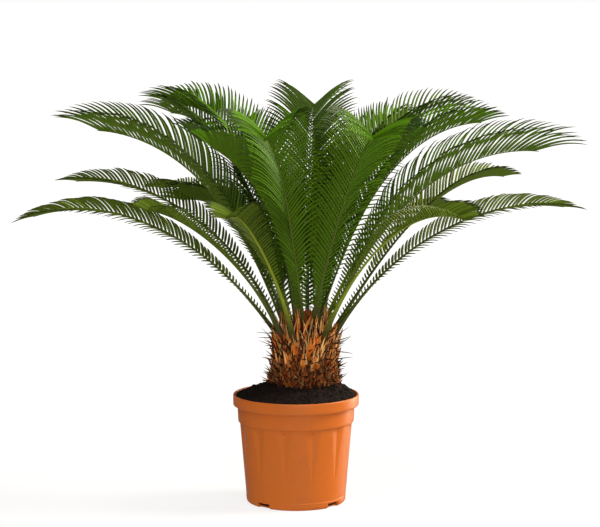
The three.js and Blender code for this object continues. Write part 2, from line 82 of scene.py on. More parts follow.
TRUNK_FOOT = Vector((19.5, 0, 284)) * MM
TRUNK_TOP = Vector((24, 0, 436)) * MM
TRUNK_LEVELS = (  # height above the foot and radius, mm
    (0, 84), (7, 82), (30, 80), (56, 75), (88, 68), (112, 63), (128, 53), (141, 35), (152, 15),
)
CROWN = np.array((24, 0, 420)) * MM
SEATS = {  # ring in the crown that a frond is rooted on, mm
    "outer": {"radius": 64, "height": -18, "width": 14, "slot": "frond_old", "grown": 0.8},
    "middle": {"radius": 46, "height": -3, "width": 12, "slot": "frond_mature", "grown": 0.46},
    "inner": {"radius": 26, "height": 10, "width": 10, "slot": "frond_young", "grown": 0.42},
}
# Heading, seat, rise at the foot, arch from foot to tip, bend exponent, rib length in mm and sweep
# of the heading; then the leaflets' length in mm, how far they shrink and close to the tip, their
# vee at the middle, how much it lifts from foot to tip, and their roll and droop.
FRONDS = (
    (176, "outer", 52, 70, 1.55, 700, -7, 98, 0.3, 27, 14, 15, -24, 0.25),
    (208, "outer", 68, 62, 0.75, 660, 45, 92, 0.5, 12, 24, 15, -20, 0.20),
    (154, "outer", 64, 69, 1.15, 695, 6, 105, 0.35, 27, 20, 15, -18, 0.18),
    (242, "outer", 65, 70, 1.0, 713, 25, 100, 0.4, 18, 26, 15, 0, 0.20),
    (308, "outer", 58, 64, 1.2, 714, -16, 100, 0.4, 18, 28, 15, 8, 0.20),
    (5, "outer", 57, 66, 1.2, 682, 14, 95, 0.3, 27, 16, 15, 24, 0.25),
    (24, "outer", 53, 63, 2.6, 640, 14, 92, 0.4, 26, 35, 15, 8, 0.10),
    (180, "middle", 67, 64, 2.1, 684, 4, 150, 0.15, 27, 36, 26, -17, 0.16),
    (134, "middle", 69, 71, 2.25, 715, -2, 150, 0.3, 27, 38, 15, -14, 0.12),
    (295, "inner", 61, 80, 3.2, 730, -31, 150, 0.1, 6, 28, 12, -16, 0.4),
    (352, "middle", 64, 69, 1.9, 700, 0, 150, 0.08, 27, 38, 26, 12, 0.12),
    (30, "middle", 84, 83, 1.9, 680, -18, 128, 0.4, 16, 36, 15, 14, 0.1),
    (256, "inner", 65, 78, 2.3, 750, 12, 150, 0.05, 6, 34, 20, 0, 0.40),
    (130, "inner", 73, 76, 2.1, 725, 16, 145, 0.3, 27, 34, 15, -8, 0.06),
    (12, "inner", 69, 68, 2.5, 655, -8, 140, 0.45, 27, 40, 15, 14, 0.12),
    (86, "middle", 84, 99, 3.0, 664, 0, 156, 0.2, 10, 28, 10, 0, 0.14),
    (56, "outer", 50, 66, 1.6, 640, 0, 105, 0.4, 26, 22, 15, 0, 0.12),
    (76, "outer", 55, 68, 1.6, 700, 5, 105, 0.4, 26, 25, 15, 0, 0.12),
    (100, "outer", 53, 66, 1.6, 700, -4, 105, 0.4, 26, 25, 15, 0, 0.12),
    (127, "outer", 56, 68, 1.6, 660, 4, 105, 0.4, 26, 20, 15, 0, 0.12),
    (60, "middle", 66, 72, 2.0, 700, 4, 140, 0.4, 26, 38, 15, 0, 0.08),
    (111, "middle", 68, 74, 2.0, 700, -6, 140, 0.4, 26, 38, 15, 0, 0.08),
    (150, "middle", 72, 84, 1.8, 470, -6, 120, 0.4, 26, 36, 15, 0, 0.08),
    (46, "inner", 80, 70, 1.8, 600, 10, 140, 0.4, 26, 40, 15, 0, 0.06),
    (152, "inner", 80, 64, 1.8, 540, 0, 140, 0.4, 26, 40, 15, 0, 0.06),
    (214, "inner", 82, 58, 1.6, 520, 8, 140, 0.4, 26, 40, 15, 0, 0.06),
    (332, "inner", 82, 56, 1.6, 520, -8, 140, 0.4, 26, 40, 15, 0, 0.06),
)
# Fronds painted in shade: their leaflets mostly take the darker, painted-shade copy of their green.
SHADED_FRONDS = ("frond_01", "frond_03", "frond_06", "frond_08", "frond_16")  # in darker greens
YELLOW_FRONDS = ("frond_04", "frond_05", "frond_17")  # old ones whose stalks turn yellow
STALK_YELLOW = 0.7
RIB_STEPS = 40
RIB_TIP_WIDTH = 3 * MM
RIB_TAPER = 1.3
STALK_SLIMS = 0.36  # how much slimmer than the solid rib a stalk gets
STALK_SLIM_FROM = 0.25  # place from which it is as slim as that
STALK_FLARE, STALK_FLARE_FADES = 0.3, 0.035  # how much wider its foot is, and where that fades
STALK_TOP, STALK_KEEL = 0.22, 1.35  # how far it stands over and under its rib, in half widths
SEAT_DEPTH = 10 * MM
LEAF_FIRST = 0.065
LEAF_LAST = 0.988
LEAF_SEAT = 0.4  # how far out on the stalk a leaflet is rooted, in stalk widths
LEAF_SPINE_SHARE = 0.12  # a foot spine's length, as a share of the longest leaflet
LEAF_GROWS = 0.04  # place from which the leaflets lengthen
LEAF_SHRINKS = 0.6  # place from which they shorten again
LEAF_ANGLE = 61  # between a leaflet and the rib at the frond's foot
LEAF_CLOSING = 1.2  # how late the leaflets close towards the rib
LEAF_TIP_CLOSES = 16  # how much further the last few leaflets close
LEAF_TIP_CLOSING = 16  # how late they do
LEAF_ROLL_ENDS = 1.2  # place at which a frond's roll would be gone
LEAF_STAGGER = 0.25  # how far each row is moved along, in pitches
LEAF_WAVES = (9, 16, 25)  # waves that a row's angles follow, in radians a frond
LEAF_WAVE = 0.6  # their height, degrees
VEE_LAG = 7  # leaflets by which the vee's waves lag behind the angle's
LEAF_SPREAD = 0.5  # how far the angles stray from them, degrees
FULL_LEAF = 155 * MM  # the leaflet that a frond's droop and arc are given for
LEAF_NODS, LEAF_SINKS = 0.16, 0.26  # how far a leaflet curves along the rib, and down from it
LEAF_TILTS = {"frond_old": 0.36, "frond_mature": 0.18, "frond_young": 0.3}  # louvre tilt, radians
FROND_TILTS = {"frond_16": -0.3}  # a frond whose leaflets tilt otherwise
LEAF_BREADTHS = {  # airier fronds, shares of the leaf width
    "frond_03": 0.9, "frond_06": 0.88, "frond_11": 0.78, "frond_12": 0.84, "frond_15": 0.9,
}
LEAF_NARROWS = 0.25  # how much narrower the last leaflets are
LEAF_SLIMNESS = 6  # a leaflet's least length, in half widths
DROOP_ENDS, ARC_ENDS = 1.5, 1.2  # places at which the leaflets' droop and arc would be gone
ARC_BEND = 1.3  # how late along a leaflet its arc bends down

# ------------------------------------------------------------------ colours and nodes


def linear(hex_code):
    """An sRGB hex colour as linear red, green and blue."""
    parts = [int(hex_code[k : k + 2], 16) / 255 for k in (1, 3, 5)]
    return tuple(c / 12.92 if c <= 0.04045 else ((c + 0.055) / 1.055) ** 2.4 for c in parts)


def colour_property(label, text, hex_code):
    return bpy.props.FloatVectorProperty(
        name=label, description=text, default=linear(hex_code), subtype="COLOR", min=0, max=1
    )


def length_property(label, text, value, high):
    return bpy.props.FloatProperty(
        name=label, description=text, default=value, min=0, max=high, subtype="DISTANCE",
        unit="LENGTH",
    )


def number_property(label, text, value, high=10):
    return bpy.props.FloatProperty(name=label, description=text, default=value, min=0, max=high)


def count_property(label, text, value, low, high):
    return bpy.props.IntProperty(name=label, description=text, default=value, min=low, max=high)


def add_node(material, kind, settings=None, **links):
    """Adds a node. settings fill its fields and sockets, links join its sockets to other nodes'."""
    tree = material.node_tree
    node = tree.nodes.new(kind)
    for key, value in (settings or {}).items():
        if isinstance(key, str) and hasattr(node, key) and key not in node.inputs:
            setattr(node, key, value)
        else:
            node.inputs[key].default_value = value
    for key, source in links.items():
        socket = node.inputs[int(key[1:])] if key[0] == "_" else node.inputs[key.replace("_", " ")]
        tree.links.new(source, socket)
    return node


def new_material(name, colour, roughness, **sockets):
    """A material with one Principled shader whose constant sockets are set on it."""
    material = bpy.data.materials.new(name)
    material.use_nodes = True
    shader = material.node_tree.nodes["Principled BSDF"]
    shader.inputs["Base Color"].default_value = (*colour, 1)
    shader.inputs["Roughness"].default_value = roughness
    for key, value in sockets.items():
        shader.inputs[key.replace("_", " ")].default_value = value
    material.diffuse_color = (*colour, 1)
    return material, shader


def feed(shader, **sources):
    """Links sources to a shader's sockets."""
    for key, source in sources.items():
        shader.id_data.links.new(source, shader.inputs[key.replace("_", " ")])


def place_colours(ramp, *stops):
    """Fills a colour ramp from (place, colour) pairs and returns the colour it gives."""
    band = ramp.color_ramp
    while len(band.elements) < len(stops):
        band.elements.new(0.5)
    for element, (place, colour) in zip(band.elements, stops):
        element.position = place
        element.color = (*colour, 1)
    return ramp.outputs["Color"]


def mottle(material, shader, value, strength, depth, *stops):
    """Lets a finish's colour and relief follow one value."""
    ramp = add_node(material, "ShaderNodeValToRGB", {}, Fac=value)
    relief = add_node(
        material, "ShaderNodeBump", {"Strength": strength, "Distance": depth}, Height=value
    )
    feed(shader, Base_Color=place_colours(ramp, *stops), Normal=relief.outputs["Normal"])
    return material


def shade(colour, factor):
    return tuple(min(1.0, c * factor) for c in colour)


def blend(one, other, share):
    return tuple(a * (1 - share) + b * share for a, b in zip(one, other))


# ------------------------------------------------------------------ meshes


def deselect_all():
    if bpy.context.object and bpy.context.object.mode != "OBJECT":
        bpy.ops.object.mode_set(mode="OBJECT")
    bpy.ops.object.select_all(action="DESELECT")
    bpy.context.view_layer.objects.active = None


def settle(piece, name, slot, materials, *nodes, angle=35):
    """Names a finished piece, gives it its finish, and seats it on the part's body."""
    deselect_all()
    piece.select_set(True)
    bpy.context.view_layer.objects.active = piece
    bpy.ops.object.transform_apply(location=True, rotation=True, scale=True)
    if angle is not None:
        bpy.ops.object.shade_smooth_by_angle(angle=math.radians(angle))
    piece.name = name
    piece.data.name = name
    if not piece.data.materials:
        for material in materials:
            piece.data.materials.append(material)
    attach(piece, BODY)
    if nodes:
        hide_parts(*nodes)
    piece.select_set(False)
    return piece


def apply_modifier(piece, kind, **settings):
    modifier = piece.modifiers.new(kind.title(), kind)
    for key, value in settings.items():
        setattr(modifier, key, value)
    bpy.context.view_layer.objects.active = piece
    bpy.ops.object.modifier_apply(modifier=modifier.name)


def roughen(piece, kind, size, strength, direction="NORMAL", **settings):
    """Raises and sinks a piece's surface in lumps of the given size."""
    texture = bpy.data.textures.new(f"{kind}_{size:.4f}", kind)
    texture.noise_scale = size
    apply_modifier(
        piece, "DISPLACE", texture=texture, strength=strength, mid_level=0.5, direction=direction,
        **settings,
    )


def raise_rings(rings, sides):
    """Models a round shell by extruding one circle from ring to ring. Each ring is a radius, a
    height and a shift along X. Both ends are closed at their middle."""
    deselect_all()
    radius, height, shift = rings[0]
    bpy.ops.mesh.primitive_circle_add(
        vertices=sides, radius=radius, fill_type="TRIFAN", location=(shift, 0, height)
    )
    piece = bpy.context.object
    bpy.ops.object.transform_apply(location=True)
    bpy.ops.object.mode_set(mode="EDIT")
    bpy.ops.mesh.select_mode(type="EDGE")
    bpy.ops.mesh.select_all(action="DESELECT")
    bpy.ops.mesh.select_non_manifold()
    for wide, high, across in rings[1:]:
        bpy.ops.mesh.extrude_region_move(
            TRANSFORM_OT_translate={"value": (across - shift, 0, high - height)}
        )
        share = wide / radius
        bpy.ops.transform.resize(value=(share, share, 1), center_override=(across, 0, high))
        radius, height, shift = wide, high, across
    bpy.ops.mesh.extrude_region_move(TRANSFORM_OT_translate={"value": (0, 0, 0)})
    bpy.ops.mesh.merge(type="CENTER")
    bpy.ops.mesh.select_all(action="SELECT")
    bpy.ops.mesh.normals_make_consistent(inside=False)
    bpy.ops.object.mode_set(mode="OBJECT")
    return piece


def weigh(piece, name, weight):
    """A vertex group whose weights come from each corner's place."""
    group = piece.vertex_groups.new(name=name)
    for vertex in piece.data.vertices:
        share = weight(vertex.co)
        if share > 0:
            group.add([vertex.index], share, "REPLACE")
    return group.name


def mesh_from_arrays(name, points, groups, tones=None):
    """A mesh from corner places and groups of faces, each an array with one row a face."""
    mesh = bpy.data.meshes.new(name)
    faces = [row for group in groups for row in group.tolist()]
    mesh.from_pydata(points.reshape(-1, 3).tolist(), [], faces)
    if tones is not None:
        mesh.polygons.foreach_set("material_index", np.concatenate(tones).astype(np.int32))
    mesh.update()
    piece = bpy.data.objects.new(name, mesh)
    bpy.context.scene.collection.objects.link(piece)
    return piece


def unit(vectors):
    return vectors / np.maximum(np.linalg.norm(vectors, axis=-1, keepdims=True), 1e-12)


def dot(a, b):
    return (a * b).sum(-1, keepdims=True)


def level(heading):
    """The level direction of each heading in degrees."""
    turn = np.radians(heading)
    return np.stack([np.cos(turn), np.sin(turn), np.zeros_like(turn)], -1)


def grow_lines(roots, courses, lengths, bend, steps):
    """Centre lines from roots that set out along courses. bend gives what is added to the course
    at each share of the length. Returns the points and the directions, blade by blade."""
    shares = np.linspace(0, 1, steps + 1)
    ways = unit(courses[:, None, :] + bend(shares[None, :, None]))
    paces = (ways[:, 1:] + ways[:, :-1]) / 2 * (lengths / steps)[:, None, None]
    lines = np.concatenate([roots[:, None], roots[:, None] + np.cumsum(paces, 1)], 1)
    return lines, ways


def carry_across(ways, across, twists, leans=0):
    """Carries each blade's crosswise direction along it, leant to one side as a whole, with a twist
    that grows to its tip."""
    steps = ways.shape[1]
    sideways, tops = np.zeros_like(ways), np.zeros_like(ways)
    for k in range(steps):
        way = ways[:, k]
        across = unit(across - way * dot(way, across))
        top = np.cross(way, across)
        turn = (twists * k / (steps - 1) - leans)[:, None]
        sideways[:, k] = across * np.cos(turn) + top * np.sin(turn)
        tops[:, k] = top * np.cos(turn) - across * np.sin(turn)
    return sideways, tops


def make_blades(name, lines, sideways, tops, halves, depths, section, tones, ends=None):
    """Closed pointed blades on given centre lines. section lists the corners of the cross section,
    as shares of the half width and of the depth, anticlockwise from the right edge. tones gives
    each blade's material for each facet of the section, and ends one for its last two steps."""
    count, steps = lines.shape[:2]
    corners = len(section)
    u, v = np.array(section).T
    rings = (
        lines[:, :-1, None]
        + sideways[:, :-1, None] * (halves[:, :-1, None] * u)[..., None]
        + tops[:, :-1, None] * (depths[:, :-1, None] * v)[..., None]
    )
    points = np.concatenate([rings.reshape(count, -1, 3), lines[:, -1:]], 1)
    first = np.arange(count)[:, None, None] * points.shape[1]
    ring = np.arange(steps - 2)[None, :, None] * corners
    here, after = np.arange(corners), (np.arange(corners) + 1) % corners
    low, high = first + ring, first + ring + corners
    quads = np.stack([low + here, low + after, high + after, high + here], -1).reshape(-1, 4)
    last = first[:, 0] + (steps - 2) * corners
    tips = np.stack([last + here, last + after, last + corners + 0 * here], -1).reshape(-1, 3)
    roots = first[:, 0] + here[::-1]
    facets = np.repeat(tones[:, None, :], steps - 1, 1)
    if ends is not None:
        facets[:, -2:] = ends[:, None, None]
    tones = [facets[:, :-1].reshape(-1), facets[:, -1].reshape(-1), tones[:, -1]]
    return mesh_from_arrays(name, points, [quads, tips, roots], tones)


# ------------------------------------------------------------------ settings


class PotSettings(bpy.types.PropertyGroup):
    plastic: colour_property("Plastic", "Colour of the moulded pot", "#D06710")
    dust: colour_property("Dust", "Colour of the dust and soil film on the pot", "#BE6220")
    flute_depth: length_property("Flute depth", "How deep a flute is at the band", 4.2 * MM, 0.01)
    sides: count_property("Sides", "Steps round the pot", 360, 48, 720)


class SoilSettings(bpy.types.PropertyGroup):
    peat: colour_property("Peat", "Colour of the damp compost", "#1B100A")
    crumb: colour_property("Crumb", "Colour of the driest crumbs", "#4A3626")
    lump: length_property("Lump", "How far the largest lumps stand up", 9 * MM, 0.03)
    crumbs: count_property("Crumbs", "Number of loose crumbs", 2600, 0, 6000)


class TrunkSettings(bpy.types.PropertyGroup):
    bark: colour_property("Bark", "Colour of the fibre between the leaf bases", "#451804")
    stub: colour_property("Stub", "Colour of the old leaf bases", "#753414")
    bract: colour_property("Bract", "Colour of the papery bracts", "#DA7010")
    edge: colour_property("Edge", "Colour of the bracts' dry edges", "#FFC272")
    wool: colour_property("Wool", "Colour of the bud's felt", "#7A3A18")
    stubs: count_property("Stubs", "Number of old leaf bases", 620, 50, 900)
    bracts: count_property("Bracts", "Number of standing bracts", 240, 20, 600)
    spines: count_property("Spines", "Number of dark spines on the trunk", 190, 0, 600)
    fibres: count_property("Fibres", "Number of pale fibres on the trunk", 620, 0, 3000)


class FrondSettings(bpy.types.PropertyGroup):
    old_leaf: colour_property("Old leaf", "Upper side of the outer fronds", "#60741A")
    mature_leaf: colour_property("Mature leaf", "Upper side of the middle fronds", "#4E6C0E")
    young_leaf: colour_property("Young leaf", "Upper side of the inner fronds", "#527C06")
    underside: colour_property("Underside", "Underside of the leaflets", "#566A14")
    stalk: colour_property("Stalk", "The stalks' green", "#606C1C")
    stalk_foot: colour_property("Stalk foot", "The stalks' colour near the crown", "#454812")
    stalk_wool: colour_property("Stalk wool", "The wool on the stalks' lowest end", "#5E3A1A")
    yellow_stalk: colour_property("Yellow stalk", "What the yellowing stalks turn to", "#A2AE1C")
    pairs: count_property("Pairs", "Leaflets along each side of a frond", 62, 10, 160)
    leaf_width: length_property("Leaflet width", "Full width of a leaflet", 7.4 * MM, 0.02)
    arc: number_property("Arc", "How far the longest leaflets arch over", 1.45, 2)


class StageSettings(bpy.types.PropertyGroup):
    floor: colour_property("Floor", "Colour of the studio floor", "#8A8988")
    key_power: number_property("Key light", "Strength of the light from the right", 3.0)
    air_power: number_property("Air light", "Strength of the even light from all round", 0.34)
    bounce: number_property("Bounce", "Strength of the light that the floor throws back", 0.75)
    front_power: number_property("Front light", "Strength of the light from the front", 1.0)
    floor_glow: number_property("Floor glow", "Light that the lit studio floor gives off", 0.77)
    top_power: number_property("Top light", "Strength of the overhead light", 0.8)
    rim_power: number_property("Rim light", "Strength of the light from behind on the right", 2.2)


# ------------------------------------------------------------------ pot and soil


def pot_plastic(looks):
    """Polypropylene, injection moulded and satin: a soft sheen over an even, opaque orange, a fine
    spark-eroded grain, and a thin film of dust in cloudy patches."""
    material, shader = new_material(
        "moulded_polypropylene", looks.plastic, 0.4, IOR=1.49, Specular_IOR_Level=0.45,
        Sheen_Weight=0.24, Sheen_Roughness=0.3,
    )
    place = add_node(material, "ShaderNodeTexCoord").outputs["Object"]
    clouds = add_node(
        material, "ShaderNodeTexNoise", {"Scale": 1 / (40 * MM), "Detail": 3.0}, Vector=place
    )
    specks = add_node(
        material, "ShaderNodeTexNoise", {"Scale": 1 / (5 * MM), "Detail": 4.0, "Roughness": 0.7},
        Vector=place,
    )
    film = add_node(
        material, "ShaderNodeMath", {"operation": "MULTIPLY"},
        _0=clouds.outputs["Fac"], _1=specks.outputs["Fac"],
    ).outputs[0]
    ramp = add_node(material, "ShaderNodeValToRGB", {}, Fac=film)
    gloss = add_node(
        material, "ShaderNodeMapRange",
        {"From Min": 0.15, "From Max": 0.5, "To Min": 0.38, "To Max": 0.5}, Value=film,
    )
    # A moulded grain is about 0.1 mm; it is drawn at 0.7 mm to show at all.
    grain = add_node(
        material, "ShaderNodeTexNoise", {"Scale": 1 / (0.7 * MM), "Detail": 1.0}, Vector=place
    )
    relief = add_node(
        material, "ShaderNodeBump", {"Strength": 0.05, "Distance": 0.2 * MM},
        Height=grain.outputs["Fac"],
    )
    stops = (0.12, looks.plastic), (0.3, shade(looks.plastic, 0.97)), (0.5, looks.dust)
    feed(
        shader, Base_Color=place_colours(ramp, *stops), Roughness=gloss.outputs["Result"],
        Normal=relief.outputs["Normal"],
    )
    return material


def pot_rings():
    """The pot's rings from the middle of its underside over the rim to its inner floor, mm."""
    rings = [(104, 0), (108, 0)]
    for turn in np.radians(np.linspace(12, 90, 7)):
        rings.append((110 + 8.4 * math.sin(turn), 8 - 8 * math.cos(turn)))
    rings += [(118.7, 12), (119.2, 17), (118.9, 17.7), (118.55, 18.4)]
    rings += [(118 + 16 * (height - 8) / 187 - 0.2, height) for height in np.arange(24, 193, 6)]
    rings += [(133.7, 193.2), (134.1, 194.2), (135.2, 194.7), (136.7, 194.9), (137.3, 195.5)]
    rings += [(137.7, 196.5), (137.9, 199), (138.4, 209), (138.9, 219), (139.3, 229), (139.4, 232)]
    rings += [(139.9, 233.4), (141.2, 234), (147.6, 234.1), (148.8, 234.6), (149.5, 235.8)]
    rings += [(149.6, 238), (149.75, 247), (149.9, 256.6), (149.7, 258.2), (149.1, 259.3)]
    rings += [(148.2, 259.9), (147, 260), (146, 259.9), (145.2, 259.4), (144.7, 258.4)]
    rings += [(144.5, 256), (144.5, 238.4), (143.6, 237), (135, 234), (134, 232), (128.5, 195)]
    rings += [(112.5, 12), (110, 6), (106, 4.2)]
    return [(radius * MM, height * MM, 0) for radius, height in rings]


def flute_weight(place):
    """How deep a flute is at a place on the pot's body: a wedge that runs out to a point."""
    radius = math.hypot(place.x, place.y)
    wall = BODY_FOOT_RADIUS + (BODY_TOP_RADIUS - BODY_FOOT_RADIUS) * place.z / BODY_TOP
    if not FLUTE_FOOT < place.z < BODY_TOP - 1.2 * MM or radius < wall - 2 * MM:
        return 0
    rise = (place.z - FLUTE_FOOT) / (BODY_TOP - FLUTE_FOOT)
    pitch = 360 / FLUTES
    heading = math.degrees(math.atan2(place.y, place.x)) - FLUTE_HEADING
    aside = abs((heading + pitch / 2) % pitch - pitch / 2)
    share = math.radians(aside) * radius / (rise * FLUTE_WIDTH / 2)
    under_band = min(1, (BODY_TOP - place.z) / (9 * MM))
    return rise * under_band * max(0, 1 - share)


class PALM_OT_pot(bpy.types.Operator):
    """Model the moulded pot with its rim, band, flutes and drain notches"""

    bl_idname = "palm.pot"
    bl_label = "Pot"

    def execute(self, context):
        looks = context.scene.palm_pot
        pot = raise_rings(pot_rings(), looks.sides)
        group = weigh(pot, "flutes", flute_weight)
        apply_modifier(
            pot, "DISPLACE", vertex_group=group, strength=-looks.flute_depth, mid_level=0,
            direction="NORMAL",
        )
        cutters = []
        for heading in NOTCH_HEADINGS:
            deselect_all()
            place = Vector(level(heading)) * (BODY_FOOT_RADIUS + 2 * MM)
            turn = (0, 0, math.radians(heading))
            bpy.ops.mesh.primitive_cube_add(size=1, location=place, rotation=turn)
            cutter = bpy.context.object
            cutter.scale = (2 * NOTCH_REACH, NOTCH_WIDTH, 2 * NOTCH_HEIGHT)
            bpy.ops.object.transform_apply(location=True, rotation=True, scale=True)
            apply_modifier(cutter, "BEVEL", width=2 * MM, segments=4)
            cutters.append(cutter)
        deselect_all()
        for cutter in cutters:
            cutter.select_set(True)
        context.view_layer.objects.active = cutters[0]
        bpy.ops.object.join()
        cutter = context.object
        apply_modifier(pot, "BOOLEAN", operation="DIFFERENCE", solver="EXACT", object=cutter)
        bpy.data.objects.remove(cutter)
        pot.vertex_groups.clear()
        settle(pot, "pot_moulded", "pot_plastic", [pot_plastic(looks)], "pot", angle=28)
        return {"FINISHED"}


def damp_peat(looks):
    """Peat compost, crumbled and damp: nearly black, with duller brown crumbs and no shine."""
    material, shader = new_material("peat_compost", looks.peat, 0.9, Specular_IOR_Level=0.25)
    place = add_node(material, "ShaderNodeTexCoord")
    crumbs = add_node(
        material, "ShaderNodeTexNoise", {"Scale": 1 / (5 * MM), "Detail": 6.0, "Roughness": 0.75},
        Vector=place.outputs["Object"],
    )
    return mottle(
        material, shader, crumbs.outputs["Fac"], 0.9, 1.2 * MM, (0.38, shade(looks.peat, 0.55)),
        (0.52, looks.peat), (0.64, shade(looks.peat, 1.7)), (0.74, looks.crumb),
    )


def soil_rings():
    """The soil's rings: up inside the pot's wall, then in over the mound to the trunk, mm."""
    rings = [(100, 4.6, 0), (108, 4.9, 0), (114, 13, 0), (130, 195, 0), (135.4, 233, 0)]
    rings += [(143.2, 238.2, 0), (144.1, 240, 0), (144.1, 252, 0), (143.9, 255, 0)]
    edge, pad = 142.5, 74
    heights = ((0, 256), (0.16, 262), (0.4, 270.5), (0.7, 278), (0.86, 284), (1, 287))
    for share in np.linspace(0, 1, 36):
        height = np.interp(share, *zip(*heights))
        rings.append((edge + (pad - edge) * share, height, 19.5 * min(1, share * 1.2)))
    rings.append((40, 288, 19.5))
    return [tuple(value * MM for value in ring) for ring in rings]


class PALM_OT_soil(bpy.types.Operator):
    """Model the mound of compost and the crumbs that lie on it"""

    bl_idname = "palm.soil"
    bl_label = "Soil"

    def execute(self, context):
        looks = context.scene.palm_soil
        mound = raise_rings(soil_rings(), 240)

        def on_top(place):
            inside = 143 * MM - math.hypot(place.x, place.y)
            return min(1, max(0, inside / (6 * MM))) if place.z > 255.5 * MM else 0

        group = weigh(mound, "mound", on_top)
        lumps = ("CLOUDS", 16 * MM, 1), ("CLOUDS", 5 * MM, 0.55), ("VORONOI", 4 * MM, -0.3)
        for kind, size, share in lumps:
            roughen(mound, kind, size, looks.lump * share, "Z", vertex_group=group)
        mound.vertex_groups.clear()
        peat = damp_peat(looks)
        self.scatter(looks, mound, peat)
        settle(mound, "soil_mound", "soil", [peat], "soil", angle=60)
        return {"FINISHED"}

    def scatter(self, looks, mound, peat):
        """Lays loose crumbs, each a dented ball of a few faces, on the mound."""
        random = np.random.RandomState(11)
        bpy.context.view_layer.update()
        surface = BVHTree.FromObject(mound, bpy.context.evaluated_depsgraph_get())
        deselect_all()
        bpy.ops.mesh.primitive_ico_sphere_add(subdivisions=1, radius=1)
        ball = bpy.context.object
        corners = np.array([vertex.co for vertex in ball.data.vertices])
        faces = np.array([list(face.vertices) for face in ball.data.polygons])
        bpy.data.objects.remove(ball)
        places, sizes = [], []
        while len(places) < looks.crumbs:
            radius = math.sqrt(random.uniform(60**2, 143**2)) * MM
            x, y, _ = level(random.uniform(0, 360)) * radius
            size = random.choice((0.9, 1.3, 1.8, 2.6, 3.6), p=(0.3, 0.3, 0.22, 0.13, 0.05)) * MM
            hit = surface.ray_cast(Vector((x, y, 0.4)), Vector((0, 0, -1)))[0]
            if hit is None or hit.z < 0.25 or math.hypot(x, y) > 143.5 * MM - size:
                continue
            places.append((x, y, hit.z + 0.2 * size))
            sizes.append(size)
        count = len(places)
        shape = corners[None] * random.uniform(0.6, 1.25, (count, len(corners), 1))
        shape = shape * random.uniform(0.65, 1.2, (count, 1, 3)) * np.array(sizes)[:, None, None]
        points = np.array(places)[:, None] + shape
        rows = faces[None] + (np.arange(count) * len(corners))[:, None, None]
        crumbs = mesh_from_arrays("soil_crumbs", points, [rows.reshape(-1, 3)])
        settle(crumbs, "soil_crumbs", "soil", [peat], angle=None)


# ------------------------------------------------------------------ trunk and bud


def trunk_axis(height):
    """The trunk's middle at a height above its foot."""
    share = np.asarray(height) / (TRUNK_TOP.z - TRUNK_FOOT.z)
    x = TRUNK_FOOT.x + (TRUNK_TOP.x - TRUNK_FOOT.x) * share
    return np.stack([x, 0 * x, TRUNK_FOOT.z + np.asarray(height)], -1)


def trunk_radius(height):
    heights, radii = np.array(TRUNK_LEVELS).T * MM
    return np.interp(height, heights, radii)


def on_trunk(headings, heights, sunk):
    """Places on the trunk, sunk into it by a depth."""
    return trunk_axis(heights) + level(headings) * (trunk_radius(heights) - sunk)[:, None]


def set_out(headings, lifts, sways):
    """Courses that leave the trunk at lifts in degrees, each swayed aside by a share."""
    lifts = np.radians(lifts)[:, None]
    out = level(headings) * np.cos(lifts) + UPWARDS * np.sin(lifts)
    return unit(out + level(headings + 90) * sways[:, None])


def fibrous_bark(looks):
    """Packed leaf-base fibre: dark, matted and matt, with rusty threads in the hollows."""
    material, shader = new_material("fibrous_bark", looks.bark, 0.9, Specular_IOR_Level=0.3)
    place = add_node(material, "ShaderNodeTexCoord")
    stretch = add_node(
        material, "ShaderNodeMapping", {"Scale": (1, 1, 0.35)}, Vector=place.outputs["Object"]
    )
    threads = add_node(
        material, "ShaderNodeTexNoise", {"Scale": 1 / (2.5 * MM), "Detail": 5.0, "Distortion": 0.8},
        Vector=stretch.outputs["Vector"],
    )
    return mottle(
        material, shader, threads.outputs["Fac"], 1.0, 1.5 * MM, (0.35, shade(looks.bark, 0.4)),
        (0.55, looks.bark), (0.7, looks.stub), (0.8, shade(looks.bract, 0.6)),
    )


def dry_scale(name, colour, roughness=0.75):
    """Dry, papery plant tissue: matt, with a faint silky sheen along its fibres."""
    return new_material(name, colour, roughness, Specular_IOR_Level=0.35)[0]


def spiral(count, low, high, random, jitter):
    """Headings and heights of scales on a golden-angle spiral over a stretch of the trunk."""
    steps = np.arange(count)
    headings = steps * GOLDEN_ANGLE + random.normal(0, jitter, count)
    heights = low + (high - low) * (steps + random.uniform(-1.5, 1.5, count)) / count
    return headings, heights


